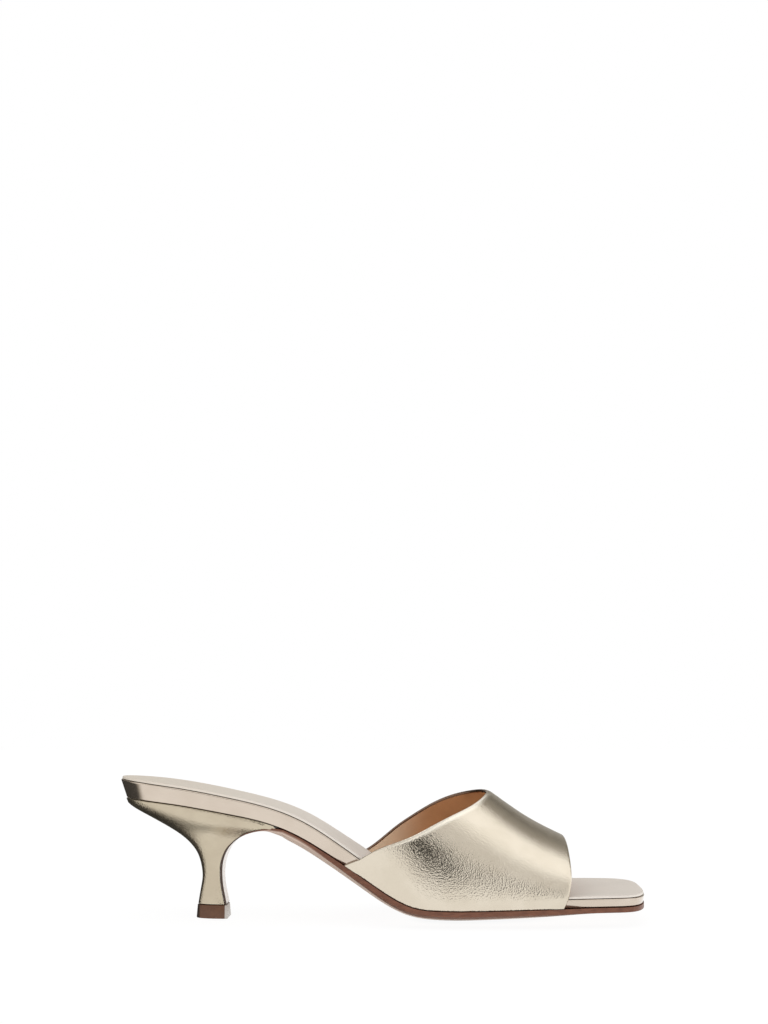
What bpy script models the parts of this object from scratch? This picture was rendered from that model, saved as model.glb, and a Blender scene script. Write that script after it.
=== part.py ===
"""A backless leather sandal on a low curved heel, with a broad vamp and an open square toe.

A right shoe. Metres, +X to the toe, +Y to the inner side of the foot, +Z up. The floor is at z = 0
and the origin is on the floor, under the middle of the shoe.
"""

import math

import bpy
import numpy as np

# Overall sizes
LENGTH = 0.2400
BALL_WIDTH = 0.0745
SEAT_WIDTH = 0.0490
SEAT_HEIGHT = 0.0556
TOE_SPRING = 0.0016

# Clear space between pieces that meet
GAP = 0.0003

# Outsole
OUTSOLE_MIDDLE = 0.0055
OUTSOLE_EDGE = 0.0020
OUTSOLE_EDGE_RADIUS = 0.0004
OUTSOLE_MARGIN = 0.0004
FLAP_THICKNESS = 0.0009
FLAP_BLEND = 0.0190
FLAP_LEAD = 0.0030
FOREPART_HOLLOW = 0.0020
TREAD_FLATTENING = 0.0002
TREAD_ROUNDING = 1.4

# Insole and sock lining
INSOLE_HEEL = 0.0070
INSOLE_TOE = 0.0036
INSOLE_LEAN_HEEL = 0.0023
INSOLE_LEAN_TOE = 0.0005
INSOLE_EDGE_RADIUS = 0.0006
SOCK_THICKNESS = 0.0009
SOCK_INSET = 0.0005
SOCK_EDGE_RADIUS = 0.0004

# Upper
WALL = 0.0020
VAMP_HEIGHT = 0.0586
WING_LEAD = 0.0080
MOUTH_LEAD = 0.0150

# Heel and its top piece
HEEL_EDGE_RADIUS = 0.0005
WEDGE_SLOPE = 0.0015
TIP_HEIGHT = 0.0063
TIP_STEP = 0.0003
TIP_FLARE = 0.0005

# Ends of the sole's outline, seen from above
HEEL_ROUND = 0.0245
TOE_ROUND = 0.0200
TOE_SQUARENESS = 3.2
TOE_SLANT = 0.0048

# Bottom of the last from heel to toe. Each row is one station: its place along the length, its rise
# as a share of the seat's, its share of the toe spring, the outer and inner half widths as shares of
# the ball's width, the insole's thickness from 0, as at the toe, to 1, as at the heel, the share of
# the hollow under the forepart, and the outsole's thickness at its edge and in its middle.
LAST_ROWS = (
    # along, rise, spring, outer, inner, thick, hollow, edge, middle
    (0.000, 1.000, 0.00, 0.329, 0.329, 1.32, 0.00, 0.80, 0.55),
    (0.104, 0.948, 0.00, 0.329, 0.329, 1.12, 0.00, 0.80, 0.55),
    (0.208, 0.855, 0.00, 0.322, 0.309, 1.03, 0.00, 0.80, 0.60),
    (0.283, 0.767, 0.00, 0.315, 0.287, 0.91, 0.00, 0.80, 0.86),
    (0.342, 0.644, 0.00, 0.317, 0.282, 0.90, 0.00, 0.85, 0.92),
    (0.408, 0.447, 0.00, 0.340, 0.300, 0.80, 0.00, 0.92, 1.00),
    (0.467, 0.258, 0.00, 0.389, 0.342, 0.60, 0.20, 1.00, 1.03),
    (0.517, 0.100, 0.00, 0.440, 0.395, 0.34, 0.60, 1.00, 0.96),
    (0.554, 0.023, 0.00, 0.473, 0.436, 0.17, 0.90, 1.00, 0.93),
    (0.592, 0.000, 0.00, 0.492, 0.470, 0.05, 1.00, 1.00, 0.98),
    (0.688, 0.000, 0.02, 0.501, 0.500, 0.00, 1.00, 1.00, 1.00),
    (0.833, 0.000, 0.60, 0.490, 0.480, 0.00, 0.60, 1.00, 0.92),
    (0.925, 0.000, 0.85, 0.478, 0.430, 0.00, 0.10, 1.00, 0.80),
    (1.000, 0.000, 1.00, 0.468, 0.395, 0.00, 0.00, 1.00, 0.68),
)

# Heel, from the top piece up to the seat. Each row is one section, which may tilt: its rear and
# front points, as shares of the length and of the seat's height, its half width as a share of the
# seat's width, the roundness of its back, and how far it follows the insole's own outline.
HEEL_ROWS = (
    # rear along, rear height, front along, front height, half width, roundness, follow
    (0.1455, 0.117, 0.1985, 0.117, 0.118, 2.3, 0.00),
    (0.1482, 0.190, 0.1950, 0.190, 0.113, 2.3, 0.00),
    (0.1515, 0.270, 0.1913, 0.279, 0.111, 2.3, 0.00),
    (0.1535, 0.350, 0.1900, 0.360, 0.115, 2.3, 0.00),
    (0.1510, 0.440, 0.1910, 0.441, 0.134, 2.3, 0.00),
    (0.1438, 0.533, 0.1964, 0.531, 0.166, 2.3, 0.00),
    (0.1295, 0.618, 0.2063, 0.606, 0.206, 2.3, 0.00),
    (0.1100, 0.691, 0.2204, 0.667, 0.252, 2.4, 0.00),
    (0.0840, 0.766, 0.2392, 0.716, 0.310, 2.5, 0.05),
    (0.0562, 0.842, 0.2604, 0.748, 0.367, 2.7, 0.20),
    (0.0325, 0.906, 0.2833, 0.763, 0.412, 3.0, 0.45),
    (0.0172, 0.954, 0.3021, 0.755, 0.439, 3.4, 0.80),
)

# Vamp, from behind the throat to the toe opening: place along the length, height of the ridge as a
# share of the vamp's height, and how far the ridge lies to the inner side, as a share of the ball.
VAMP_ROWS = (
    # along, ridge height, ridge shift
    (0.417, 1.655, 0.045),
    (0.500, 1.502, 0.045),
    (0.583, 1.305, 0.045),
    (0.646, 1.143, 0.045),
    (0.698, 1.000, 0.045),
    (0.745, 0.863, 0.042),
    (0.779, 0.773, 0.040),
    (0.814, 0.696, 0.038),
    (0.845, 0.635, 0.036),
)

# Edges of the vamp. Each row is one line over it, from the sole at 0 to the ridge at 1: where the
# line meets the topline on the outer and the inner side, and where it meets the toe opening.
TUCK = 0.08
EDGE_ROWS = (
    # around, outer topline, inner topline, toe opening
    (0.00, 0.427, 0.428, 0.8245),
    (0.08, 0.454, 0.460, 0.8300),
    (0.20, 0.498, 0.499, 0.8355),
    (0.30, 0.544, 0.531, 0.8390),
    (0.42, 0.599, 0.576, 0.8405),
    (0.56, 0.650, 0.626, 0.8415),
    (0.72, 0.682, 0.669, 0.8430),
    (0.86, 0.695, 0.690, 0.8440),
    (1.00, 0.699, 0.699, 0.8445),
)

# Counts of faces
HEEL_ARC_STEPS = 7
SIDE_STEPS = 30
TOE_ARC_STEPS = 8
HEEL_SIDE_STEPS = 13
VAMP_LINES = 34
VAMP_STEPS = 14
TUCK_LINES = 2
# Shares of the sole's half width at the rings of its tread, from its flat middle to its edge
TREAD_SHARES = (0.20, 0.38, 0.55, 0.70, 0.83, 0.93)

# Shares of an outline at which the broad faces of the soles are divided
FACE_SHARES = (0.35, 0.70)
TOP_SHARES = (0.90, 0.62, 0.30)

OUTER = -1.0
INNER = 1.0
REAR = -LENGTH / 2
FRONT = LENGTH / 2
FEATHER_HEIGHT = OUTSOLE_MIDDLE + FOREPART_HOLLOW + GAP + TREAD_FLATTENING

MATERIALS = {
    # colour, roughness, metallic
    "outsole": ((0.22, 0.10, 0.06, 1.0), 0.50, 0.0),
    "insole": ((0.66, 0.57, 0.43, 1.0), 0.35, 0.8),
    "sock": ((0.72, 0.66, 0.60, 1.0), 0.50, 0.1),
    "upper": ((0.66, 0.57, 0.43, 1.0), 0.35, 0.8),
    "heel": ((0.66, 0.57, 0.43, 1.0), 0.35, 0.8),
    "heel_tip": ((0.20, 0.10, 0.07, 1.0), 0.45, 0.0),
}


def blend(low, high, share):
    """The value a share of the way from low to high."""
    return low + (high - low) * share


def ramp(value, start, end):
    """A smooth step from 0 at start to 1 at end."""
    share = min(max((value - start) / (end - start), 0.0), 1.0)
    return share * share * (3 - 2 * share)


def smooth(places, values):
    """The natural cubic through the given points, straight beyond its ends."""
    places = np.asarray(places, dtype=float)
    values = np.asarray(values, dtype=float)
    steps = np.diff(places)
    slopes = np.diff(values) / steps
    count = len(places)
    matrix = np.eye(count)
    right = np.zeros(count)
    for i in range(1, count - 1):
        matrix[i, i - 1] = steps[i - 1]
        matrix[i, i] = 2 * (steps[i - 1] + steps[i])
        matrix[i, i + 1] = steps[i]
        right[i] = 6 * (slopes[i] - slopes[i - 1])
    bends = np.linalg.solve(matrix, right)
    first_slope = slopes[0] - steps[0] * bends[1] / 6
    last_slope = slopes[-1] + steps[-1] * bends[-2] / 6

    def curve(place):
        if place <= places[0]:
            return float(values[0] + first_slope * (place - places[0]))
        if place >= places[-1]:
            return float(values[-1] + last_slope * (place - places[-1]))
        i = int(np.searchsorted(places, place)) - 1
        before = place - places[i]
        after = places[i + 1] - place
        step = steps[i]
        cubic = (bends[i] * after ** 3 + bends[i + 1] * before ** 3) / (6 * step)
        line = (values[i] * after + values[i + 1] * before) / step
        pull = (bends[i] * after + bends[i + 1] * before) * step / 6
        return float(cubic + line - pull)

    return curve


def along_curve(rows, index, scale):
    """A smooth curve along the shoe through one column of a table."""
    places = [REAR + LENGTH * row[0] for row in rows]
    return smooth(places, [scale * row[index] for row in rows])


RISE = along_curve(LAST_ROWS, 1, SEAT_HEIGHT - FEATHER_HEIGHT)
SPRING = along_curve(LAST_ROWS, 2, TOE_SPRING)
OUTER_HALF = along_curve(LAST_ROWS, 3, BALL_WIDTH)
INNER_HALF = along_curve(LAST_ROWS, 4, BALL_WIDTH)
INSOLE_SHARE = along_curve(LAST_ROWS, 5, 1.0)
HOLLOW = along_curve(LAST_ROWS, 6, FOREPART_HOLLOW)
SOLE_EDGE = along_curve(LAST_ROWS, 7, OUTSOLE_EDGE)
SOLE_MIDDLE = along_curve(LAST_ROWS, 8, OUTSOLE_MIDDLE)
RIDGE = along_curve(VAMP_ROWS, 1, VAMP_HEIGHT)
RIDGE_SHIFT = along_curve(VAMP_ROWS, 2, BALL_WIDTH)


def along_share(x):
    return min(max((x - REAR) / LENGTH, 0.0), 1.0)


def bottom_height(x):
    """Height of the insole's lower face at its edge: the line where the sole meets the upper."""
    return FEATHER_HEIGHT + RISE(x) + SPRING(x)


def bottom_slope(x):
    step = 0.0005
    return (bottom_height(x + step) - bottom_height(x - step)) / (2 * step)


def upright(x):
    """How much taller a thickness is when it is measured straight up."""
    return math.hypot(1.0, bottom_slope(x))


def insole_top(x):
    """Height of the insole's upper face."""
    thickness = blend(INSOLE_TOE, INSOLE_HEEL, INSOLE_SHARE(x))
    return bottom_height(x) + thickness * upright(x)


def side_half(side, x):
    """Half width of the insole's upper face, before its ends are rounded."""
    return OUTER_HALF(x) if side == OUTER else INNER_HALF(x)


def lean(x):
    """How far the foot of the insole's wall stands inside its top."""
    return blend(INSOLE_LEAN_HEEL, INSOLE_LEAN_TOE, along_share(x))


def hollow(x, y):
    """Depth of the sole's hollow under the forepart, deepest along the middle."""
    half = side_half(OUTER if y < 0 else INNER, x)
    reach = min(abs(y) / half, 1.0)
    return max(HOLLOW(x), 0.0) * (1 - reach * reach)


def toe_slant(x, y):
    """The square toe is cut at a slant, longest on the inner side."""
    share = min(max((x - FRONT) / (2 * TOE_ROUND) + 1, 0.0), 1.0)
    return TOE_SLANT * share * share * (y / BALL_WIDTH - 0.5)


def toe_arc(side, half_at, front, steps):
    """Points of one side of the squared toe end, after its start."""
    points = []
    start = front - TOE_ROUND
    power = 2 / TOE_SQUARENESS
    for i in range(1, steps):
        angle = math.pi / 2 * i / steps
        x = start + TOE_ROUND * math.sin(angle) ** power
        points.append((x, side * half_at(side, x) * math.cos(angle) ** power))
    points.append((front, 0.0))
    return points


def slanted(points):
    return [(x + toe_slant(x, y), y) for x, y in points]


def joined_sides(outer, inner):
    """A closed outline from two sides, which may share their first and last points."""
    last = -2 if outer[-1] == inner[-1] else -1
    first = 0 if outer[0] == inner[0] else None
    return outer + inner[last:first:-1]


def insole_side(side):
    """Points of one side of the insole's outline, from the heel's back to the toe's front."""
    points = [(REAR, 0.0)]
    for i in range(1, HEEL_ARC_STEPS + 1):
        angle = math.pi / 2 * i / HEEL_ARC_STEPS
        x = REAR + HEEL_ROUND * (1 - math.cos(angle))
        points.append((x, side * side_half(side, x) * math.sin(angle)))
    for i in range(1, SIDE_STEPS + 1):
        x = blend(REAR + HEEL_ROUND, FRONT - TOE_ROUND, i / SIDE_STEPS)
        points.append((x, side * side_half(side, x)))
    points += toe_arc(side, side_half, FRONT, TOE_ARC_STEPS)
    return slanted(points)


def anchors(loop, rear_reach, front_reach):
    """The point of the middle line that each outline point is drawn in towards."""
    low = min(x for x, y in loop) + rear_reach
    high = max(x for x, y in loop) - front_reach
    return [min(max(x, low), high) for x, y in loop]


def inset(loop, middles, distance):
    """The outline drawn in by a distance, which may be one number or one for each point."""
    distances = distance if isinstance(distance, list) else [distance] * len(loop)
    drawn = []
    for (x, y), middle, amount in zip(loop, middles, distances):
        share = min(amount / math.hypot(middle - x, y), 1.0)
        drawn.append((blend(x, middle, share), y * (1 - share)))
    return drawn


def shrink(loop, middles, share):
    """The outline drawn in to a share of its reach from the middle line."""
    return [(blend(middle, x, share), y * share) for (x, y), middle in zip(loop, middles)]


def lofted(rings, flat_start=False):
    """Points and faces of a closed body through rings of points, lowest and innermost first.

    Each ring starts at its back, on the middle line or at the outer corner of a flat start, and goes
    round by the outer side. The first and the last ring are closed by rungs between each point and
    its partner on the other side.
    """
    count = len(rings[0])
    points = [point for ring in rings for point in ring]
    faces = []
    for level in range(len(rings) - 1):
        low = level * count
        high = low + count
        for i in range(count):
            j = (i + 1) % count
            faces.append((low + i, low + j, high + j, high + i))
    top = (len(rings) - 1) * count
    partner = count - 1 if flat_start else count
    for i in range(partner // 2):
        rung = [i, i + 1, partner - i - 1, (partner - i) % count]
        if rung[0] == rung[3]:
            rung = rung[:3]
        elif rung[1] == rung[2]:
            rung = [rung[0], rung[1], rung[3]]
        faces.append(tuple(top + k for k in rung))
        faces.append(tuple(reversed(rung)))
    return points, faces


def clear_scene():
    for item in list(bpy.data.objects):
        bpy.data.objects.remove(item, do_unlink=True)


def make_material(name):
    colour, roughness, metallic = MATERIALS[name]
    material = bpy.data.materials.new(name)
    material.use_nodes = True
    shader = material.node_tree.nodes["Principled BSDF"]
    shader.inputs["Base Color"].default_value = colour
    shader.inputs["Roughness"].default_value = roughness
    shader.inputs["Metallic"].default_value = metallic
    material.diffuse_color = colour
    return material


def add_object(name, points, faces, collection):
    mesh = bpy.data.meshes.new(name)
    mesh.from_pydata(points, [], faces)
    mesh.validate()
    mesh.shade_smooth()
    mesh.set_sharp_from_angle(angle=math.radians(40))
    mesh.materials.append(make_material(name))
    item = bpy.data.objects.new(name, mesh)
    collection.objects.link(item)
    return item


def make_insole(collection):
    """A moulded board, thick at the heel and waist, whose wall leans out to its top."""
    loop = joined_sides(insole_side(OUTER), insole_side(INNER))
    middles = anchors(loop, HEEL_ROUND, TOE_ROUND)
    foot = inset(loop, middles, [lean(x) for x, y in loop])
    foot_middles = anchors(foot, HEEL_ROUND, TOE_ROUND)
    radius = INSOLE_EDGE_RADIUS
    corner = radius * (1 - math.sqrt(0.5))

    def lower(plan, rise):
        return [(x, y, bottom_height(x) - hollow(x, y) + rise) for x, y in plan]

    def upper(plan, drop):
        return [(x, y, insole_top(x) - drop) for x, y in plan]

    rings = [
        lower(shrink(foot, foot_middles, FACE_SHARES[0]), 0.0),
        lower(shrink(foot, foot_middles, FACE_SHARES[1]), 0.0),
        lower(inset(foot, foot_middles, radius), 0.0),
        lower(inset(foot, foot_middles, corner), corner),
        lower(foot, radius),
        upper(loop, radius),
        upper(inset(loop, middles, corner), corner),
        upper(inset(loop, middles, radius), 0.0),
        upper(shrink(loop, middles, FACE_SHARES[0]), 0.0),
    ]
    points, faces = lofted(rings)
    return add_object("insole", points, faces, collection)


def make_sock(collection):
    """A thin sock lining that covers the insole, a little inside its edge."""
    loop = joined_sides(insole_side(OUTER), insole_side(INNER))
    middles = anchors(loop, HEEL_ROUND, TOE_ROUND)
    radius = SOCK_EDGE_RADIUS
    corner = radius * (1 - math.sqrt(0.5))

    def ring(plan, rise):
        return [(x, y, insole_top(x) + (GAP + rise) * upright(x)) for x, y in plan]

    def drawn(distance):
        return inset(loop, middles, SOCK_INSET + distance)

    rings = [
        ring(shrink(loop, middles, FACE_SHARES[0]), 0.0),
        ring(drawn(0.0), 0.0),
        ring(drawn(0.0), SOCK_THICKNESS - radius),
        ring(drawn(corner), SOCK_THICKNESS - corner),
        ring(drawn(radius), SOCK_THICKNESS),
        ring(shrink(loop, middles, FACE_SHARES[0]), SOCK_THICKNESS),
    ]
    points, faces = lofted(rings)
    return add_object("sock", points, faces, collection)


def heel_place(along, height):
    return REAR + LENGTH * along, SEAT_HEIGHT * height


def heel_half(row, side, x):
    """Half width of a heel section at its fullest, drawn to the insole's foot near the seat."""
    return blend(SEAT_WIDTH * row[4], side_half(side, x) - lean(x), row[6])


class SoleLine:
    """Side view of the outsole's upper face: down the heel's front as a flap, and out to the toe.

    A place on it is its x, and behind the join it is the join's x less the way down the flap.
    """

    def __init__(self):
        fronts = [heel_place(row[2], row[3]) for row in HEEL_ROWS]
        self.join = fronts[-1][0] + FLAP_LEAD
        under_insole = [self.join + FLAP_LEAD * step for step in (0, 2, 4)]
        knots = fronts + [(x, bottom_height(x) - GAP) for x in under_insole]
        spans = [0.0]
        for (x0, z0), (x1, z1) in zip(knots, knots[1:]):
            spans.append(spans[-1] + math.hypot(x1 - x0, z1 - z0))
        self.flap_x = smooth(spans, [x for x, z in knots])
        self.flap_z = smooth(spans, [z for x, z in knots])
        self.start = self.join - spans[len(fronts)]
        self.flap_places = [self.start + span for span in spans[:len(fronts)]]
        self.halves = {}
        for side in (OUTER, INNER):
            widths = []
            for row, (x, z) in zip(HEEL_ROWS, fronts):
                widths.append(heel_half(row, side, x))
            widths += [self.under_half(side, x) - OUTSOLE_MARGIN for x in under_insole]
            self.halves[side] = smooth(spans, widths)

    def point(self, place):
        """The point of the line at a place, as (x, z)."""
        if place >= self.join:
            return place, bottom_height(place) - GAP
        span = place - self.start
        return self.flap_x(span), self.flap_z(span)

    def normal(self, place):
        """The unit normal towards the tread."""
        step = 0.0004
        x0, z0 = self.point(place - step)
        x1, z1 = self.point(place + step)
        size = math.hypot(x1 - x0, z1 - z0)
        return (z1 - z0) / size, -(x1 - x0) / size

    def under_half(self, side, x):
        """Half width where the outsole lies under the insole, wider where it carries the upper."""
        wing = REAR + LENGTH * EDGE_ROWS[0][1]
        mouth = REAR + LENGTH * EDGE_ROWS[0][3]
        carried = ramp(x, wing - WING_LEAD, wing + WING_LEAD)
        carried *= 1 - ramp(x, mouth - WING_LEAD, mouth + MOUTH_LEAD)
        foot = side_half(side, x) - lean(x)
        return foot + OUTSOLE_MARGIN + (WALL + GAP) * carried

    def half(self, side, place):
        if place >= self.join:
            return self.under_half(side, place)
        share = ramp(place, self.join - FLAP_BLEND, self.join)
        return self.halves[side](place - self.start) + OUTSOLE_MARGIN * share

    def heel_front(self, index):
        """The front of one heel section, a gap away from the flap."""
        place = self.flap_places[index]
        x, z = self.point(place)
        nx, nz = self.normal(place)
        return x - GAP * nx, z - GAP * nz

    def thickness(self, place):
        """Thickness at the edge and in the middle."""
        share = ramp(place, self.join - FLAP_BLEND, self.join + FLAP_BLEND / 4)
        x = max(place, self.join)
        middle = SOLE_MIDDLE(x) + max(HOLLOW(x), 0.0)
        return blend(FLAP_THICKNESS, SOLE_EDGE(x), share), blend(FLAP_THICKNESS, middle, share)


def sole_side(line, side):
    """One side of the outsole's outline, from the flap's end to the toe's front."""
    points = [(place, side * line.half(side, place)) for place in line.flap_places]
    end = FRONT + OUTSOLE_MARGIN - INSOLE_LEAN_TOE
    for i in range(SIDE_STEPS + 1):
        place = blend(line.join, end - TOE_ROUND, i / SIDE_STEPS)
        points.append((place, side * line.half(side, place)))
    points += toe_arc(side, line.half, end, TOE_ARC_STEPS)
    return slanted(points)


def make_outsole(line, collection):
    """A leather sole with a rounded underside, which runs down the front of the heel as a flap."""
    loop = joined_sides(sole_side(line, OUTER), sole_side(line, INNER))
    middles = anchors(loop, SEAT_WIDTH * HEEL_ROWS[0][4], TOE_ROUND)
    radius = OUTSOLE_EDGE_RADIUS
    corner = radius * (1 - math.sqrt(0.5))
    core = inset(loop, middles, radius)
    flat = TREAD_SHARES[0]

    def ring(plan, depth_at):
        placed = []
        for place, y in plan:
            x, z = line.point(place)
            nx, nz = line.normal(place)
            depth = depth_at(place, y)
            placed.append((x + depth * nx, y, z + depth * nz))
        return placed

    def tread_ring(share):
        reach = ((share - flat) / (1 - flat)) ** TREAD_ROUNDING

        def depth_at(place, y):
            edge, middle = line.thickness(place)
            return blend(middle, edge, reach)

        return [(x, y, pressed(z)) for x, y, z in ring(shrink(core, middles, share), depth_at)]

    def edge_ring(distance, rise):
        plan = inset(loop, middles, distance)
        return [(x, y, pressed(z)) for x, y, z in
                ring(plan, lambda place, y: line.thickness(place)[0] - rise)]

    def top_ring(plan):
        return ring(plan, lambda place, y: hollow(place, y) if place > line.join else 0.0)

    rings = [tread_ring(share) for share in TREAD_SHARES]
    rings += [edge_ring(radius, 0.0), edge_ring(corner, corner), edge_ring(0.0, radius)]
    rings += [ring(loop, lambda place, y: 0.0)]
    rings += [top_ring(shrink(loop, middles, share)) for share in TOP_SHARES]
    points, faces = lofted(rings, flat_start=True)
    return add_object("outsole", points, faces, collection)


def pressed(z):
    """Heights of the tread, pressed flat where the sole bears on the floor."""
    return max(z - TREAD_FLATTENING, 0.0)


def heel_ring(row, front):
    """One section of the heel, from its back round by the outer side to its flat front."""
    rear_x, rear_z = heel_place(row[0], row[1])
    front_x, front_z = front
    roundness, follow = row[5], row[6]
    sides = []
    for side in (OUTER, INNER):
        points = [(rear_x, 0.0, rear_z)]
        for i in range(1, HEEL_SIDE_STEPS + 1):
            share = min(1 - math.cos(math.pi / 2 * (i / HEEL_SIDE_STEPS)), 1.0)
            x = blend(rear_x, front_x, share)
            oval = (1 - (1 - share) ** roundness) ** (1 / roundness)
            y = blend(heel_half(row, side, x) * oval, seat_half(side, x), follow)
            chord = blend(bottom_height(rear_x), bottom_height(front_x), share)
            z = blend(rear_z, front_z, share) + follow * (bottom_height(x) - chord)
            points.append((x, side * y, z))
        sides.append(points)
    return joined_sides(sides[0], sides[1])


def seat_half(side, x):
    """Half width of the insole's foot near the heel, with its rounded back."""
    depth = HEEL_ROUND - INSOLE_LEAN_HEEL
    share = min(max((x - REAR - INSOLE_LEAN_HEEL) / depth, 0.0), 1.0)
    return (side_half(side, x) - lean(x)) * math.sqrt(1 - (1 - share) ** 2)


def make_heel(line, collection):
    """A leather-covered heel, waisted low down, whose thin front runs forward under the waist."""
    rings = [heel_ring(row, line.heel_front(i)) for i, row in enumerate(HEEL_ROWS)]
    front_x, front_z = line.heel_front(len(HEEL_ROWS) - 1)
    seat_front = front_x - WEDGE_SLOPE
    seat_row = (INSOLE_LEAN_HEEL / LENGTH, 1.0, 0.0, 0.0, 0.0, 2.0, 1.0)
    plan = [(x, y) for x, y, z in heel_ring(seat_row, (seat_front, front_z))]
    middles = anchors(plan, HEEL_ROUND, HEEL_ROUND)
    for draw_in, drop in ((0.0, HEEL_EDGE_RADIUS), (HEEL_EDGE_RADIUS, 0.0)):
        ring = []
        for x, y in inset(plan, middles, draw_in):
            thin = 1 - ramp(x, seat_front - HEEL_ROUND, seat_front)
            ring.append((x, y, bottom_height(x) - GAP - drop * thin))
        rings.append(ring)
    points, faces = lofted(rings)
    return add_object("heel", points, faces, collection)


def make_heel_tip(line, collection):
    """The top piece, which stands out a little round the heel and flares to the floor."""
    plan = [(x, y) for x, y, z in heel_ring(HEEL_ROWS[0], line.heel_front(0))]
    low = min(x for x, y in plan)
    high = max(x for x, y in plan)
    centre = (low + high) / 2
    half = max(y for x, y in plan)
    rings = []
    for step, z in ((TIP_STEP + TIP_FLARE, 0.0), (TIP_STEP, TIP_HEIGHT - GAP)):
        longer = (high - low + FLAP_THICKNESS + 2 * step) / (high - low)
        wider = (half + step) / half
        middle = centre + FLAP_THICKNESS / 2
        rings.append([(middle + (x - centre) * longer, y * wider, z) for x, y in plan])
    points, faces = lofted(rings)
    return add_object("heel_tip", points, faces, collection)


def vamp_section(side, around, x):
    """The outside of the vamp over the last: a point at x, from the sole at 0 to the ridge at 1."""
    top = insole_top(x)
    half = side_half(side, x) + GAP + WALL
    if around < TUCK:
        share = around / TUCK
        y = half - lean(x) * (1 - share) ** 2
        return x, side * y, blend(bottom_height(x), top, share)
    angle = math.pi / 2 * (around - TUCK) / (1 - TUCK)
    shift = RIDGE_SHIFT(x) * math.sin(angle)
    y = side * half * math.cos(angle) + shift
    return x, y, top + (RIDGE(x) - top) * math.sin(angle)


def make_upper(collection):
    """The vamp: a band of lined leather round the forepart, open at the throat, toe and sole."""
    mirrored = [2 - row[0] for row in reversed(EDGE_ROWS[:-1])]
    around = [row[0] for row in EDGE_ROWS] + mirrored
    outer = [row[1] for row in EDGE_ROWS]
    inner = [row[2] for row in reversed(EDGE_ROWS[:-1])]
    mouth = [row[3] for row in EDGE_ROWS]
    topline = smooth(around, outer + inner)
    opening = smooth(around, mouth + mouth[-2::-1])
    tucks = [TUCK * i / TUCK_LINES for i in range(TUCK_LINES)]
    arch = [blend(TUCK, 2 - TUCK, i / VAMP_LINES) for i in range(VAMP_LINES + 1)]
    lines = tucks + arch + [2 - turn for turn in reversed(tucks)]
    points = []
    for turn in lines:
        side = OUTER if turn <= 1 else INNER
        reach = turn if turn <= 1 else 2 - turn
        for i in range(VAMP_STEPS + 1):
            along = blend(topline(turn), opening(turn), i / VAMP_STEPS)
            points.append(vamp_section(side, reach, REAR + LENGTH * along))
    faces = []
    width = VAMP_STEPS + 1
    for row in range(len(lines) - 1):
        for i in range(VAMP_STEPS):
            a = row * width + i
            faces.append((a, a + 1, a + 1 + width, a + width))
    item = add_object("upper", points, faces, collection)
    wall = item.modifiers.new("wall", "SOLIDIFY")
    wall.thickness = WALL
    wall.offset = -1.0
    return item


def centre(collection):
    """Moves every piece so that the shoe's box is centred over the origin."""
    points = [vertex.co for item in collection.objects for vertex in item.data.vertices]
    middle_x = (min(p.x for p in points) + max(p.x for p in points)) / 2
    middle_y = (min(p.y for p in points) + max(p.y for p in points)) / 2
    for item in collection.objects:
        for vertex in item.data.vertices:
            vertex.co.x -= middle_x
            vertex.co.y -= middle_y


def main():
    clear_scene()
    collection = bpy.data.collections.new("heeled_mule")
    bpy.context.scene.collection.children.link(collection)
    line = SoleLine()
    make_outsole(line, collection)
    make_insole(collection)
    make_sock(collection)
    make_upper(collection)
    make_heel(line, collection)
    make_heel_tip(line, collection)
    centre(collection)


if __name__ == "__main__":
    main()
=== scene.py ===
"""The looks of a backless pale gold leather sandal on a low curved heel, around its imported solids."""

import math

import bmesh
import bpy
import numpy as np
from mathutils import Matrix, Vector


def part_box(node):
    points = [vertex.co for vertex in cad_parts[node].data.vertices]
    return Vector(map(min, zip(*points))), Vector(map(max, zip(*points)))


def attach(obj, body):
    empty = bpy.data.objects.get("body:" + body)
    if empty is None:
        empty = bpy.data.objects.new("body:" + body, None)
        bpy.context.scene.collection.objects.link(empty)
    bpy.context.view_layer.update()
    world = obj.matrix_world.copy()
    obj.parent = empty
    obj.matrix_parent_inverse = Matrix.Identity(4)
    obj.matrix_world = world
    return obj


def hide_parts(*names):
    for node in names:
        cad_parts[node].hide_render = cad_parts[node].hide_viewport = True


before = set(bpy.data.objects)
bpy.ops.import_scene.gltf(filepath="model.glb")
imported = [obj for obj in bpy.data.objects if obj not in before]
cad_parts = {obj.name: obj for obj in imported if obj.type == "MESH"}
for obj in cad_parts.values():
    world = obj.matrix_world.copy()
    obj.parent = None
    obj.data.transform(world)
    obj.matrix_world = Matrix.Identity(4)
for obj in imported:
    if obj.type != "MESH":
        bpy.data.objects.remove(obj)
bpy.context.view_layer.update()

# Sizes of the solids, in metres, repeated from the part's source
LENGTH = 0.2400
BALL_WIDTH = 0.0745
SEAT_WIDTH = 0.0490
SEAT_HEIGHT = 0.0556
TOE_SPRING = 0.0016
GAP = 0.0003
OUTSOLE_MIDDLE = 0.0055
OUTSOLE_EDGE = 0.0020
OUTSOLE_EDGE_RADIUS = 0.0004
OUTSOLE_MARGIN = 0.0004
FLAP_THICKNESS = 0.0009
FLAP_BLEND = 0.0190
FLAP_LEAD = 0.0030
FOREPART_HOLLOW = 0.0020
TREAD_FLATTENING = 0.0002
TREAD_ROUNDING = 1.4
TREAD_FLAT = 0.20
INSOLE_HEEL = 0.0070
INSOLE_TOE = 0.0036
INSOLE_LEAN_HEEL = 0.0023
INSOLE_LEAN_TOE = 0.0005
INSOLE_EDGE_RADIUS = 0.0006
SOCK_THICKNESS = 0.0009
SOCK_INSET = 0.0005
SOCK_EDGE_RADIUS = 0.0004
WALL = 0.0020
VAMP_HEIGHT = 0.0586
WING_LEAD = 0.0080
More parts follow.
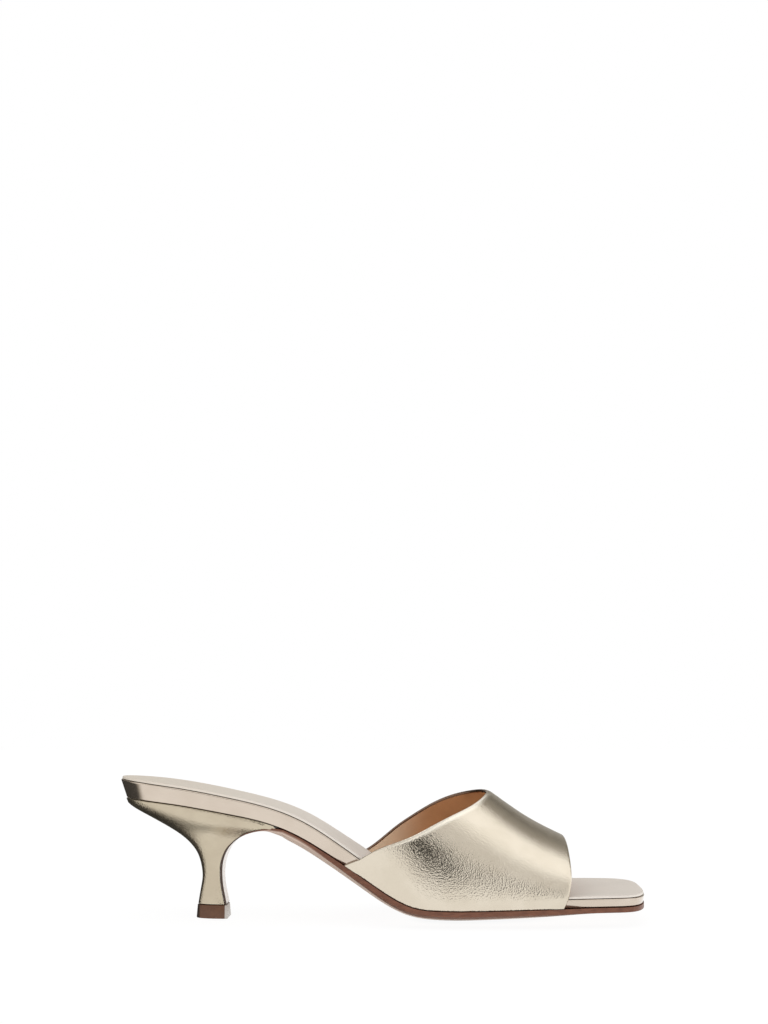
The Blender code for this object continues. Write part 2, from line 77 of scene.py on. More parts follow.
MOUTH_LEAD = 0.0150
HEEL_EDGE_RADIUS = 0.0005
WEDGE_SLOPE = 0.0015
TIP_HEIGHT = 0.0063
TIP_STEP = 0.0003
TIP_FLARE = 0.0005
HEEL_ROUND = 0.0245
TOE_ROUND = 0.0200
TOE_SQUARENESS = 3.2
TOE_SLANT = 0.0048

# Bottom of the last from heel to toe, a row for each station: its place along the length, its rise as
# a share of the seat's, its share of the toe spring, the outer and inner half widths as shares of the
# ball's width, the insole's thickness from 0 at the toe to 1 at the heel, the share of the hollow
# under the forepart, and shares of the outsole's thickness at its edge and in its middle
LAST_ROWS = (
    # along, rise, spring, outer, inner, thick, hollow, edge, middle
    (0.000, 1.000, 0.00, 0.329, 0.329, 1.32, 0.00, 0.80, 0.55),
    (0.104, 0.948, 0.00, 0.329, 0.329, 1.12, 0.00, 0.80, 0.55),
    (0.208, 0.855, 0.00, 0.322, 0.309, 1.03, 0.00, 0.80, 0.60),
    (0.283, 0.767, 0.00, 0.315, 0.287, 0.91, 0.00, 0.80, 0.86),
    (0.342, 0.644, 0.00, 0.317, 0.282, 0.90, 0.00, 0.85, 0.92),
    (0.408, 0.447, 0.00, 0.340, 0.300, 0.80, 0.00, 0.92, 1.00),
    (0.467, 0.258, 0.00, 0.389, 0.342, 0.60, 0.20, 1.00, 1.03),
    (0.517, 0.100, 0.00, 0.440, 0.395, 0.34, 0.60, 1.00, 0.96),
    (0.554, 0.023, 0.00, 0.473, 0.436, 0.17, 0.90, 1.00, 0.93),
    (0.592, 0.000, 0.00, 0.492, 0.470, 0.05, 1.00, 1.00, 0.98),
    (0.688, 0.000, 0.02, 0.501, 0.500, 0.00, 1.00, 1.00, 1.00),
    (0.833, 0.000, 0.60, 0.490, 0.480, 0.00, 0.60, 1.00, 0.92),
    (0.925, 0.000, 0.85, 0.478, 0.430, 0.00, 0.10, 1.00, 0.80),
    (1.000, 0.000, 1.00, 0.468, 0.395, 0.00, 0.00, 1.00, 0.68),
)

# Heel from the top piece up to the seat, a row for each section, which may tilt: its rear and front
# points as shares of the length and of the seat's height, its half width as a share of the seat's
# width, the roundness of its back, and how far it follows the insole's own outline
HEEL_ROWS = (
    # rear along, rear height, front along, front height, half width, roundness, follow
    (0.1455, 0.117, 0.1985, 0.117, 0.118, 2.3, 0.00),
    (0.1482, 0.190, 0.1950, 0.190, 0.113, 2.3, 0.00),
    (0.1515, 0.270, 0.1913, 0.279, 0.111, 2.3, 0.00),
    (0.1535, 0.350, 0.1900, 0.360, 0.115, 2.3, 0.00),
    (0.1510, 0.440, 0.1910, 0.441, 0.134, 2.3, 0.00),
    (0.1438, 0.533, 0.1964, 0.531, 0.166, 2.3, 0.00),
    (0.1295, 0.618, 0.2063, 0.606, 0.206, 2.3, 0.00),
    (0.1100, 0.691, 0.2204, 0.667, 0.252, 2.4, 0.00),
    (0.0840, 0.766, 0.2392, 0.716, 0.310, 2.5, 0.05),
    (0.0562, 0.842, 0.2604, 0.748, 0.367, 2.7, 0.20),
    (0.0325, 0.906, 0.2833, 0.763, 0.412, 3.0, 0.45),
    (0.0172, 0.954, 0.3021, 0.755, 0.439, 3.4, 0.80),
)

# Vamp from behind the throat to the toe opening: place along the length, height of the ridge as a
# share of the vamp's height, and how far the ridge lies to the inner side, as a share of the ball
VAMP_ROWS = (
    # along, ridge height, ridge shift
    (0.417, 1.655, 0.045),
    (0.500, 1.502, 0.045),
    (0.583, 1.305, 0.045),
    (0.646, 1.143, 0.045),
    (0.698, 1.000, 0.045),
    (0.745, 0.863, 0.042),
    (0.779, 0.773, 0.040),
    (0.814, 0.696, 0.038),
    (0.845, 0.635, 0.036),
)

# Edges of the vamp, a row for each line over it, from the sole at 0 to the ridge at 1: where the line
# meets the topline on the outer and the inner side, and where it meets the toe opening
TUCK = 0.08
EDGE_ROWS = (
    # around, outer topline, inner topline, toe opening
    (0.00, 0.427, 0.428, 0.8245),
    (0.08, 0.454, 0.460, 0.8300),
    (0.20, 0.498, 0.499, 0.8355),
    (0.30, 0.544, 0.531, 0.8390),
    (0.42, 0.599, 0.576, 0.8405),
    (0.56, 0.650, 0.626, 0.8415),
    (0.72, 0.682, 0.669, 0.8430),
    (0.86, 0.695, 0.690, 0.8440),
    (1.00, 0.699, 0.699, 0.8445),
)

# Folded edges of the vamp: the roll is thin at the wings and at the toe opening, and full along the
# throat, between two turns round the vamp. Inside it a step leads down to the lining.
WING_ROLL = 0.0005
THROAT_ROLL = 0.0026
MOUTH_ROLL = 0.0011
ROLL_START = 0.12
ROLL_FULL = 0.34
INNER_ROLL = 0.0004
FOLD_WIDTH = 0.0009
LINING_STEP = 0.0003
LINING_CLEARANCE = 0.00004

# Where the far side's painted shade begins and the near side's painted highlight ends, as turns round the
# vamp, and how wide the painted shade is on the edge and on the fold inside it, in steps of the mesh
FAR_SIDE = (0.90, 1.05)
NEAR_END = (0.86, 0.97)
SHADE_STEPS = 5
SHADE_FOLD_STEPS = 12

# How far the heel's cover is pressed into the sole, so that no light shows between them, and between
# which shares of the heel's height that sets in
HEEL_PRESS = 0.0006
PRESS_SPAN = (0.35, 0.60)

# Stain of the outsole's edge, which under the forepart runs on into the tread as painted shade: how far
# down it reaches at the waist, under the forepart and on the flap, and how softly it ends. 0 is the edge's
# top,
# 1 its foot, and the tread's middle lies a reach beyond.
STAIN_WAIST = 0.20
FOREPART_STAIN_AND_SHADE = 3.0
STAIN_FLAP = 0.80
STAIN_FADE = 0.60
TREAD_REACH = 8.0
# Where the waist's stain passes into the forepart's stain and painted shade, and where the flap is bare,
# along the shoe
STAIN_SPAN = (-0.040, 0.020)
FLAP_SPAN = (-0.066, -0.060)
# Heights over the floor between which the tread is painted dark with shade from the floor
FLOOR_SHADE_FOOT = 0.0010
FLOOR_SHADE_TOP = 0.0024

# How far from its back the top piece is painted dark with shade, and how far from its front it is worn pale
TIP_SHADE_START = 0.0014
TIP_SHADE_END = 0.0022
TIP_RUB_START = 0.0016
TIP_RUB_END = 0.0011

# Colours. A pair is the paler and the deeper tone of an uneven surface.
VAMP_GOLD = ((0.70, 0.63, 0.52), (0.66, 0.59, 0.48))
BAND_GOLD = ((0.64, 0.555, 0.47), (0.60, 0.515, 0.43))
HEEL_GOLD = ((0.56, 0.49, 0.37), (0.51, 0.44, 0.33))
# Painted highlight on the near side's rolled topline
PAINTED_FOLD_HIGHLIGHT = (0.82, 0.76, 0.65)
# Painted shade along the wings' edges and the far side's topline
PAINTED_EDGE_SHADE = (0.22, 0.14, 0.10)
SOCK_FORE = ((0.785, 0.725, 0.66), (0.755, 0.70, 0.635))
SOCK_HEEL = (0.735, 0.665, 0.575)
LINING_DEEP = ((0.58, 0.28, 0.125), (0.49, 0.23, 0.10))
LINING_WING = (0.82, 0.62, 0.44)
# The edge's dark stain, which is painted shade where it runs into the forepart's tread
SOLE_STAIN_AND_SHADE = ((0.190, 0.074, 0.040), (0.130, 0.048, 0.026))
SOLE_UNDER = ((0.68, 0.53, 0.44), (0.62, 0.48, 0.40))
FLAP_EDGE = (0.060, 0.034, 0.022)
FLAP_FACE = (0.92, 0.89, 0.86)
# Painted shade on the tread close to the floor
PAINTED_FLOOR_SHADE = (0.055, 0.036, 0.030)
TIP_BROWN = ((0.135, 0.062, 0.032), (0.110, 0.050, 0.027))
# Painted shade at the top piece's back
TIP_BACK_SHADE = (0.035, 0.022, 0.016)
TIP_WORN = (0.50, 0.46, 0.42)
SPECK_SHADE = 0.85

# Counts of faces
EDGE_STEPS = 6
HEEL_ARC_STEPS = 28
SIDE_STEPS = 260
TOE_ARC_STEPS = 30
FLAP_STEPS = 60
HEEL_SIDE_STEPS = 64
HEEL_LEVELS = 66
VAMP_LINES = 150
VAMP_STEPS = 90
TUCK_LINES = 10
RIM_STEPS = 8
# Shares at which faces are divided: the tread from its middle to its edge, the broad faces of the
# soles, a rounded edge, and the band's wall, with the rings close together where the light turns
TREAD_SHARES = (0.04, 0.12, 0.20, 0.29, 0.38, 0.47, 0.55, 0.63, 0.70, 0.77, 0.83, 0.88, 0.93, 0.97)
FACE_SHARES = (0.04, 0.20, 0.38, 0.55, 0.70, 0.82, 0.91)
ARC_SHARES = (0.0, 0.25, 0.5, 0.75, 1.0)
WALL_SHARES = (0.01, 0.06, 0.20, 0.40, 0.60, 0.80, 0.94, 0.99)
# The ring just under the heel's seat, as a share of the heel's height
LEVEL_END = 0.997
# Faces that meet at more than this angle, in degrees, have a sharp edge
SHARP_ANGLE = 50

OUTER = -1.0
INNER = 1.0
REAR = -LENGTH / 2
FRONT = LENGTH / 2
FEATHER_HEIGHT = OUTSOLE_MIDDLE + FOREPART_HOLLOW + GAP + TREAD_FLATTENING


def blend(low, high, share):
    """The value a share of the way from low to high."""
    return low + (high - low) * share


def ramp(value, start, end):
    """A smooth step from 0 at start to 1 at end."""
    share = min(max((value - start) / (end - start), 0.0), 1.0)
    return share * share * (3 - 2 * share)


def smooth(places, values):
    """The natural cubic through the given points, straight beyond its ends."""
    places = np.asarray(places, dtype=float)
    values = np.asarray(values, dtype=float)
    steps = np.diff(places)
    slopes = np.diff(values) / steps
    count = len(places)
    matrix = np.eye(count)
    right = np.zeros(count)
    for i in range(1, count - 1):
        matrix[i, i - 1] = steps[i - 1]
        matrix[i, i] = 2 * (steps[i - 1] + steps[i])
        matrix[i, i + 1] = steps[i]
        right[i] = 6 * (slopes[i] - slopes[i - 1])
    bends = np.linalg.solve(matrix, right)
    first_slope = slopes[0] - steps[0] * bends[1] / 6
    last_slope = slopes[-1] + steps[-1] * bends[-2] / 6

    def curve(place):
        if place <= places[0]:
            return float(values[0] + first_slope * (place - places[0]))
        if place >= places[-1]:
            return float(values[-1] + last_slope * (place - places[-1]))
        i = int(np.searchsorted(places, place)) - 1
        before = place - places[i]
        after = places[i + 1] - place
        step = steps[i]
        cubic = (bends[i] * after ** 3 + bends[i + 1] * before ** 3) / (6 * step)
        line = (values[i] * after + values[i + 1] * before) / step
        pull = (bends[i] * after + bends[i + 1] * before) * step / 6
        return float(cubic + line - pull)

    return curve


def along_curve(rows, index, scale):
    """A smooth curve along the shoe through one column of a table."""
    places = [REAR + LENGTH * row[0] for row in rows]
    return smooth(places, [scale * row[index] for row in rows])


RISE = along_curve(LAST_ROWS, 1, SEAT_HEIGHT - FEATHER_HEIGHT)
SPRING = along_curve(LAST_ROWS, 2, TOE_SPRING)
OUTER_HALF = along_curve(LAST_ROWS, 3, BALL_WIDTH)
INNER_HALF = along_curve(LAST_ROWS, 4, BALL_WIDTH)
INSOLE_SHARE = along_curve(LAST_ROWS, 5, 1.0)
HOLLOW = along_curve(LAST_ROWS, 6, FOREPART_HOLLOW)
SOLE_EDGE = along_curve(LAST_ROWS, 7, OUTSOLE_EDGE)
SOLE_MIDDLE = along_curve(LAST_ROWS, 8, OUTSOLE_MIDDLE)
RIDGE = along_curve(VAMP_ROWS, 1, VAMP_HEIGHT)
RIDGE_SHIFT = along_curve(VAMP_ROWS, 2, BALL_WIDTH)


def along_share(x):
    """A place along the shoe as a share of its length."""
    return min(max((x - REAR) / LENGTH, 0.0), 1.0)


def bottom_height(x):
    """Height of the insole's lower face at its edge: the line where the sole meets the upper."""
    return FEATHER_HEIGHT + RISE(x) + SPRING(x)


def upright(x):
    """How much taller a thickness is when it is measured straight up."""
    step = 0.0005
    return math.hypot(1.0, (bottom_height(x + step) - bottom_height(x - step)) / (2 * step))


def insole_top(x):
    """Height of the insole's upper face."""
    thickness = blend(INSOLE_TOE, INSOLE_HEEL, INSOLE_SHARE(x))
    return bottom_height(x) + thickness * upright(x)


def side_half(side, x):
    """Half width of the insole's upper face, before its ends are rounded."""
    return OUTER_HALF(x) if side == OUTER else INNER_HALF(x)


def lean(x):
    """How far the foot of the insole's wall stands inside its top."""
    return blend(INSOLE_LEAN_HEEL, INSOLE_LEAN_TOE, along_share(x))


def hollow(x, y):
    """Depth of the sole's hollow under the forepart, deepest along the middle."""
    half = side_half(OUTER if y < 0 else INNER, x)
    reach = min(abs(y) / half, 1.0)
    return max(HOLLOW(x), 0.0) * (1 - reach * reach)


def toe_slant(x, y):
    """The square toe is cut at a slant, longest on the inner side."""
    share = min(max((x - FRONT) / (2 * TOE_ROUND) + 1, 0.0), 1.0)
    return TOE_SLANT * share * share * (y / BALL_WIDTH - 0.5)


def toe_arc(side, half_at, front):
    """Points of one side of the squared toe end, after its start."""
    points = []
    power = 2 / TOE_SQUARENESS
    for i in range(1, TOE_ARC_STEPS):
        angle = math.pi / 2 * i / TOE_ARC_STEPS
        x = front - TOE_ROUND * (1 - math.sin(angle) ** power)
        points.append((x, side * half_at(side, x) * math.cos(angle) ** power))
    points.append((front, 0.0))
    return points


def slanted(points):
    """The outline with the slant of the toe."""
    return [(x + toe_slant(x, y), y) for x, y in points]


def joined_sides(outer, inner):
    """A closed outline from two sides, which may share their first and last points."""
    last = -2 if outer[-1] == inner[-1] else -1
    first = 0 if outer[0] == inner[0] else None
    return outer + inner[last:first:-1]


def insole_side(side):
    """Points of one side of the insole's outline, from the heel's back to the toe's front."""
    points = [(REAR, 0.0)]
    for i in range(1, HEEL_ARC_STEPS + 1):
        angle = math.pi / 2 * i / HEEL_ARC_STEPS
        x = REAR + HEEL_ROUND * (1 - math.cos(angle))
        points.append((x, side * side_half(side, x) * math.sin(angle)))
    for i in range(1, SIDE_STEPS + 1):
        x = blend(REAR + HEEL_ROUND, FRONT - TOE_ROUND, i / SIDE_STEPS)
        points.append((x, side * side_half(side, x)))
    points += toe_arc(side, side_half, FRONT)
    return slanted(points)


def anchors(loop, rear_reach, front_reach):
    """The point of the middle line that each outline point is drawn in towards."""
    low = min(x for x, y in loop) + rear_reach
    high = max(x for x, y in loop) - front_reach
    return [min(max(x, low), high) for x, y in loop]


def inset(loop, middles, distance):
    """The outline drawn in by a distance, which may be one number or one for each point."""
    distances = distance if isinstance(distance, list) else [distance] * len(loop)
    drawn = []
    for (x, y), middle, amount in zip(loop, middles, distances):
        share = min(amount / math.hypot(middle - x, y), 1.0)
        drawn.append((blend(x, middle, share), y * (1 - share)))
    return drawn


def shrink(loop, middles, share):
    """The outline drawn in to a share of its reach from the middle line."""
    return [(blend(middle, x, share), y * share) for (x, y), middle in zip(loop, middles)]


def edge_arc(radius):
    """Steps round a rounded edge: how far in, and how far from the face, from the wall to the face."""
    steps = []
    for share in ARC_SHARES:
        angle = math.pi / 2 * share
        steps.append((radius * (1 - math.cos(angle)), radius * (1 - math.sin(angle))))
    return steps


# The fine meshes stand where the solids stand: the part is centred on its own box.
SHIFT_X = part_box("insole")[0].x - REAR
SHIFT_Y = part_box("insole")[0].y - min(y for x, y in insole_side(OUTER))


def body(name, rings, materials, flat_start=False):
    """A closed mesh through rings of points, closed by rungs across its first and last rings."""
    count = len(rings[0])
    points = [(p[0] + SHIFT_X, p[1] + SHIFT_Y, p[2]) for ring in rings for p in ring]
    faces = []
    for level in range(len(rings) - 1):
        low = level * count
        high = low + count
        for i in range(count):
            j = (i + 1) % count
            faces.append((low + i, low + j, high + j, high + i))
    top = (len(rings) - 1) * count
    partner = count - 1 if flat_start else count
    for i in range(partner // 2):
        rung = [i, i + 1, partner - i - 1, (partner - i) % count]
        if rung[0] == rung[3]:
            rung = rung[:3]
        elif rung[1] == rung[2]:
            rung = [rung[0], rung[1], rung[3]]
        faces.append(tuple(top + k for k in rung))
        faces.append(tuple(reversed(rung)))
    mesh = bpy.data.meshes.new(name)
    mesh.from_pydata(points, [], faces)
    tidy = bmesh.new()
    tidy.from_mesh(mesh)
    bmesh.ops.recalc_face_normals(tidy, faces=tidy.faces)
    tidy.to_mesh(mesh)
    tidy.free()
    for material in materials:
        mesh.materials.append(material)
    mesh.shade_smooth()
    mesh.set_sharp_from_angle(angle=math.radians(SHARP_ANGLE))
    item = bpy.data.objects.new(name, mesh)
    bpy.context.scene.collection.objects.link(item)
    return item


def note(item, name, values):
    """Keeps one number on each point of a body, for its material to read."""
    item.data.attributes.new(name, "FLOAT", "POINT").data.foreach_set("value", values)


# Shapes


def make_band(materials):
    """The insole's board with its gold leather wrapping, whose edges are rounded."""
    loop = joined_sides(insole_side(OUTER), insole_side(INNER))
    middles = anchors(loop, HEEL_ROUND, TOE_ROUND)
    foot = inset(loop, middles, [lean(x) for x, y in loop])
    foot_middles = anchors(foot, HEEL_ROUND, TOE_ROUND)
    radius = INSOLE_EDGE_RADIUS

    def lower(plan, rise):
        return [(x, y, bottom_height(x) - hollow(x, y) + rise) for x, y in plan]

    def upper(plan, drop):
        return [(x, y, insole_top(x) - drop) for x, y in plan]

    rings = [lower(shrink(foot, foot_middles, share), 0.0) for share in FACE_SHARES]
    rings += [lower(inset(foot, foot_middles, inward), drop) for inward, drop in reversed(edge_arc(radius))]
    for share in WALL_SHARES:
        low = lower(foot, radius)
        high = upper(loop, radius)
        rings.append([tuple(blend(a, b, share) for a, b in zip(p, q)) for p, q in zip(low, high)])
    rings += [upper(inset(loop, middles, inward), drop) for inward, drop in edge_arc(radius)]
    rings += [upper(shrink(loop, middles, share), 0.0) for share in reversed(FACE_SHARES)]
    return body("insole_band", rings, materials)


def make_sock(materials):
    """The thin sock lining, whose soft edge catches the light."""
    loop = joined_sides(insole_side(OUTER), insole_side(INNER))
    middles = anchors(loop, HEEL_ROUND, TOE_ROUND)

    def ring(plan, rise):
        return [(x, y, insole_top(x) + (GAP + rise) * upright(x)) for x, y in plan]

    def drawn(distance):
        return inset(loop, middles, SOCK_INSET + distance)

    rings = [ring(shrink(loop, middles, share), 0.0) for share in FACE_SHARES]
    rings.append(ring(drawn(0.0), 0.0))
    for inward, drop in edge_arc(SOCK_EDGE_RADIUS):
        rings.append(ring(drawn(inward), SOCK_THICKNESS - drop))
    rings += [ring(shrink(loop, middles, share), SOCK_THICKNESS) for share in reversed(FACE_SHARES)]
    return body("sock_lining", rings, materials)


def heel_half(half_share, follow, side, x):
    """Half width of a heel section at its fullest, drawn to the insole's foot near the seat."""
    return blend(SEAT_WIDTH * half_share, side_half(side, x) - lean(x), follow)


class SoleLine:
    """Side view of the outsole's upper face: down the heel's front as a flap, and out to the toe.

    A place on it is its x, and behind the join it is the join's x less the way down the flap.
    """

    def __init__(self):
        fronts = [(REAR + LENGTH * row[2], SEAT_HEIGHT * row[3]) for row in HEEL_ROWS]
        self.join = fronts[-1][0] + FLAP_LEAD
        under_insole = [self.join + FLAP_LEAD * step for step in (0, 2, 4)]
        knots = fronts + [(x, bottom_height(x) - GAP) for x in under_insole]
        spans = [0.0]
        for (x0, z0), (x1, z1) in zip(knots, knots[1:]):
            spans.append(spans[-1] + math.hypot(x1 - x0, z1 - z0))
        self.flap_x = smooth(spans, [x for x, z in knots])
        self.flap_z = smooth(spans, [z for x, z in knots])
        self.start = self.join - spans[len(fronts)]
        flap_places = [self.start + span for span in spans[:len(fronts)]]
        self.front_place = smooth(range(len(fronts)), flap_places)
        self.halves = {}
        for side in (OUTER, INNER):
            widths = []
            for row, (x, z) in zip(HEEL_ROWS, fronts):
                widths.append(heel_half(row[4], row[6], side, x))
            widths += [self.under_half(side, x) - OUTSOLE_MARGIN for x in under_insole]
            self.halves[side] = smooth(spans, widths)

    def point(self, place):
        """The point of the line at a place, as (x, z)."""
        if place >= self.join:
            return place, bottom_height(place) - GAP
        span = place - self.start
        return self.flap_x(span), self.flap_z(span)

    def normal(self, place):
        """The unit normal towards the tread."""
        step = 0.0004
        x0, z0 = self.point(place - step)
        x1, z1 = self.point(place + step)
        size = math.hypot(x1 - x0, z1 - z0)
        return (z1 - z0) / size, -(x1 - x0) / size

    def under_half(self, side, x):
        """Half width where the outsole lies under the insole, wider where it carries the upper."""
        wing = REAR + LENGTH * EDGE_ROWS[0][1]
        mouth = REAR + LENGTH * EDGE_ROWS[0][3]
        carried = ramp(x, wing - WING_LEAD, wing + WING_LEAD)
        carried *= 1 - ramp(x, mouth - WING_LEAD, mouth + MOUTH_LEAD)
        foot = side_half(side, x) - lean(x)
        return foot + OUTSOLE_MARGIN + (WALL + GAP) * carried

    def half(self, side, place):
        if place >= self.join:
            return self.under_half(side, place)
        share = ramp(place, self.join - FLAP_BLEND, self.join)
        return self.halves[side](place - self.start) + OUTSOLE_MARGIN * share

    def heel_front(self, level, reach=-GAP):
        """The front of the heel at a level between two of its rows, as far as a reach past the flap."""
        place = self.front_place(level)
        x, z = self.point(place)
        nx, nz = self.normal(place)
        return x + reach * nx, z + reach * nz

    def thickness(self, place):
        """Thickness at the edge and in the middle."""
        share = ramp(place, self.join - FLAP_BLEND, self.join + FLAP_BLEND / 4)
        x = max(place, self.join)
        middle = SOLE_MIDDLE(x) + max(HOLLOW(x), 0.0)
        return blend(FLAP_THICKNESS, SOLE_EDGE(x), share), blend(FLAP_THICKNESS, middle, share)


def sole_side(line, side):
    """One side of the outsole's outline, from the flap's end to the toe's front."""
    points = []
    for i in range(FLAP_STEPS):
        place = blend(line.start, line.join, i / FLAP_STEPS)
        points.append((place, side * line.half(side, place)))
    end = FRONT + OUTSOLE_MARGIN - INSOLE_LEAN_TOE
    for i in range(SIDE_STEPS + 1):
        place = blend(line.join, end - TOE_ROUND, i / SIDE_STEPS)
        points.append((place, side * line.half(side, place)))
    points += toe_arc(side, line.half, end)
    return slanted(points)


def pressed(z):
    """Heights of the tread, pressed flat where the sole bears on the floor."""
    return max(z - TREAD_FLATTENING, 0.0)


def make_outsole(line, materials):
    """The leather sole with its pale rounded underside and dark edge, and its flap down the heel."""
    loop = joined_sides(sole_side(line, OUTER), sole_side(line, INNER))
    middles = anchors(loop, SEAT_WIDTH * HEEL_ROWS[0][4], TOE_ROUND)
    radius = OUTSOLE_EDGE_RADIUS
    core = inset(loop, middles, radius)

    def ring(plan, depth_at):
        placed = []
        for place, y in plan:
            x, z = line.point(place)
            nx, nz = line.normal(place)
            depth = depth_at(place, y)
            placed.append((x + depth * nx, y, z + depth * nz))
        return placed

    def tread_ring(share):
        reach = max((share - TREAD_FLAT) / (1 - TREAD_FLAT), 0.0) ** TREAD_ROUNDING

        def depth_at(place, y):
            edge, middle = line.thickness(place)
            return blend(middle, edge, reach)

        return [(x, y, pressed(z)) for x, y, z in ring(shrink(core, middles, share), depth_at)]

    def edge_ring(distance, rise):
        plan = inset(loop, middles, distance)
        depths = ring(plan, lambda place, y: line.thickness(place)[0] - rise)
        return [(x, y, pressed(z)) for x, y, z in depths]

    def top_ring(plan):
        return ring(plan, lambda place, y: hollow(place, y) if place > line.join else 0.0)

    def wall_ring(share):
        depths = ring(loop, lambda place, y: share * (line.thickness(place)[0] - radius))
        return [(x, y, pressed(z)) for x, y, z in depths]

    rings = [tread_ring(share) for share in TREAD_SHARES]
    rings += [edge_ring(inward, drop) for inward, drop in reversed(edge_arc(radius))]
    rings += [wall_ring(1 - i / EDGE_STEPS) for i in range(1, EDGE_STEPS)]
    rings.append(ring(loop, lambda place, y: 0.0))
    rings += [top_ring(shrink(loop, middles, share)) for share in reversed(FACE_SHARES)]
    item = body("outsole_leather", rings, materials, flat_start=True)
    treads = len(TREAD_SHARES)
    walls = len(ARC_SHARES) + EDGE_STEPS
    downs = [1 + (1 - share) * TREAD_REACH for share in TREAD_SHARES]
    downs += [1 - i / walls for i in range(walls)] + [0.0] * (len(rings) - treads - walls)
    # How far the dark reaches: stain on the edge, and under the forepart painted shade on the tread
    pale = []
    for down in downs:
        for place, y in loop:
            start = STAIN_WAIST + (FOREPART_STAIN_AND_SHADE - STAIN_WAIST) * ramp(place, *STAIN_SPAN)
            start = blend(STAIN_FLAP, start, ramp(place, line.join - FLAP_BLEND, line.join))
            pale.append(ramp(down, start, start + STAIN_FADE))
    note(item, "pale", pale)
    return item


def heel_ring(row, front):
    """One section of the heel, from its back round by the outer side to its flat front."""
    rear_along, rear_height, _, _, half_share, roundness, follow = row
    rear_x = REAR + LENGTH * rear_along
    rear_z = SEAT_HEIGHT * rear_height
    front_x, front_z = front
    sides = []
    for side in (OUTER, INNER):
        points = [(rear_x, 0.0, rear_z)]
        for i in range(1, HEEL_SIDE_STEPS + 1):
            share = min(1 - math.cos(math.pi / 2 * (i / HEEL_SIDE_STEPS)), 1.0)
            x = blend(rear_x, front_x, share)
            oval = (1 - (1 - share) ** roundness) ** (1 / roundness)
            y = blend(heel_half(half_share, follow, side, x) * oval, seat_half(side, x), follow)
            chord = blend(bottom_height(rear_x), bottom_height(front_x), share)
            z = blend(rear_z, front_z, share) + follow * (bottom_height(x) - chord)
            points.append((x, side * y, z))
        sides.append(points)
    return joined_sides(sides[0], sides[1])


def seat_half(side, x):
    """Half width of the insole's foot near the heel, with its rounded back."""
    depth = HEEL_ROUND - INSOLE_LEAN_HEEL
    share = min(max((x - REAR - INSOLE_LEAN_HEEL) / depth, 0.0), 1.0)
    return (side_half(side, x) - lean(x)) * math.sqrt(1 - (1 - share) ** 2)


def make_heel(line, materials):
    """The gold leather cover of the heel."""
    curves = [smooth(range(len(HEEL_ROWS)), column) for column in zip(*HEEL_ROWS)]
    last = len(HEEL_ROWS) - 1
    rings = []
    shares = [i / HEEL_LEVELS for i in range(HEEL_LEVELS + 1)]
    shares.insert(-1, LEVEL_END)
    for share in shares:
        level = last * share
        *row, follow = [curve(level) for curve in curves]
        row.append(min(max(follow, 0.0), 1.0))
        reach = blend(-GAP, HEEL_PRESS, ramp(share, *PRESS_SPAN))
        rings.append(heel_ring(row, line.heel_front(level, reach)))
    front_x, front_z = line.heel_front(last, HEEL_PRESS)
    seat_front = front_x - WEDGE_SLOPE
    seat_row = (INSOLE_LEAN_HEEL / LENGTH, 1.0, 0.0, 0.0, 0.0, 2.0, 1.0)
    plan = [(x, y) for x, y, z in heel_ring(seat_row, (seat_front, front_z))]
    middles = anchors(plan, HEEL_ROUND, HEEL_ROUND)
    for inward, drop in edge_arc(HEEL_EDGE_RADIUS):
        ring = []
        for x, y in inset(plan, middles, inward):
            thin = 1 - ramp(x, seat_front - HEEL_ROUND, seat_front)
            ring.append((x, y, bottom_height(x) - GAP - drop * thin))
        rings.append(ring)
    return body("heel_cover", rings, materials)


def make_tip(line, materials):
    """The brown top piece, with slightly softened edges."""
    plan = [(x, y) for x, y, z in heel_ring(HEEL_ROWS[0], line.heel_front(0))]
    low = min(x for x, y in plan)
    high = max(x for x, y in plan)
    centre = (low + high) / 2
    half = max(y for x, y in plan)
    softness = TIP_STEP / 2
    top = TIP_HEIGHT - GAP
    sections = ((-softness, 0.0), (0.0, softness), (0.0, top - softness), (-softness, top))
    rings = []
    for grow, z in sections:
        step = TIP_STEP + TIP_FLARE * (1 - z / top) + grow
        longer = (high - low + FLAP_THICKNESS + 2 * step) / (high - low)
        wider = (half + step) / half
        middle = centre + FLAP_THICKNESS / 2
        rings.append([(middle + (x - centre) * longer, y * wider, z) for x, y in plan])
    return body("heel_top_piece", rings, materials)


def vamp_section(turn, along):
    """A point of the outside of the vamp: turn runs from the outer sole at 0 over the ridge to 2."""
    side = OUTER if turn <= 1 else INNER
    around = turn if turn <= 1 else 2 - turn
    x = REAR + LENGTH * along
    top = insole_top(x)
    half = side_half(side, x) + GAP + WALL
    if around < TUCK:
        share = around / TUCK
        y = half - lean(x) * (1 - share) ** 2
        return np.array((x, side * y, blend(bottom_height(x), top, share)))
    angle = math.pi / 2 * (around - TUCK) / (1 - TUCK)
    y = side * half * math.cos(angle) + RIDGE_SHIFT(x) * math.sin(angle)
    return np.array((x, y, top + (RIDGE(x) - top) * math.sin(angle)))


def unit(vector):
    """The vector at a length of one."""
    return vector / np.linalg.norm(vector)


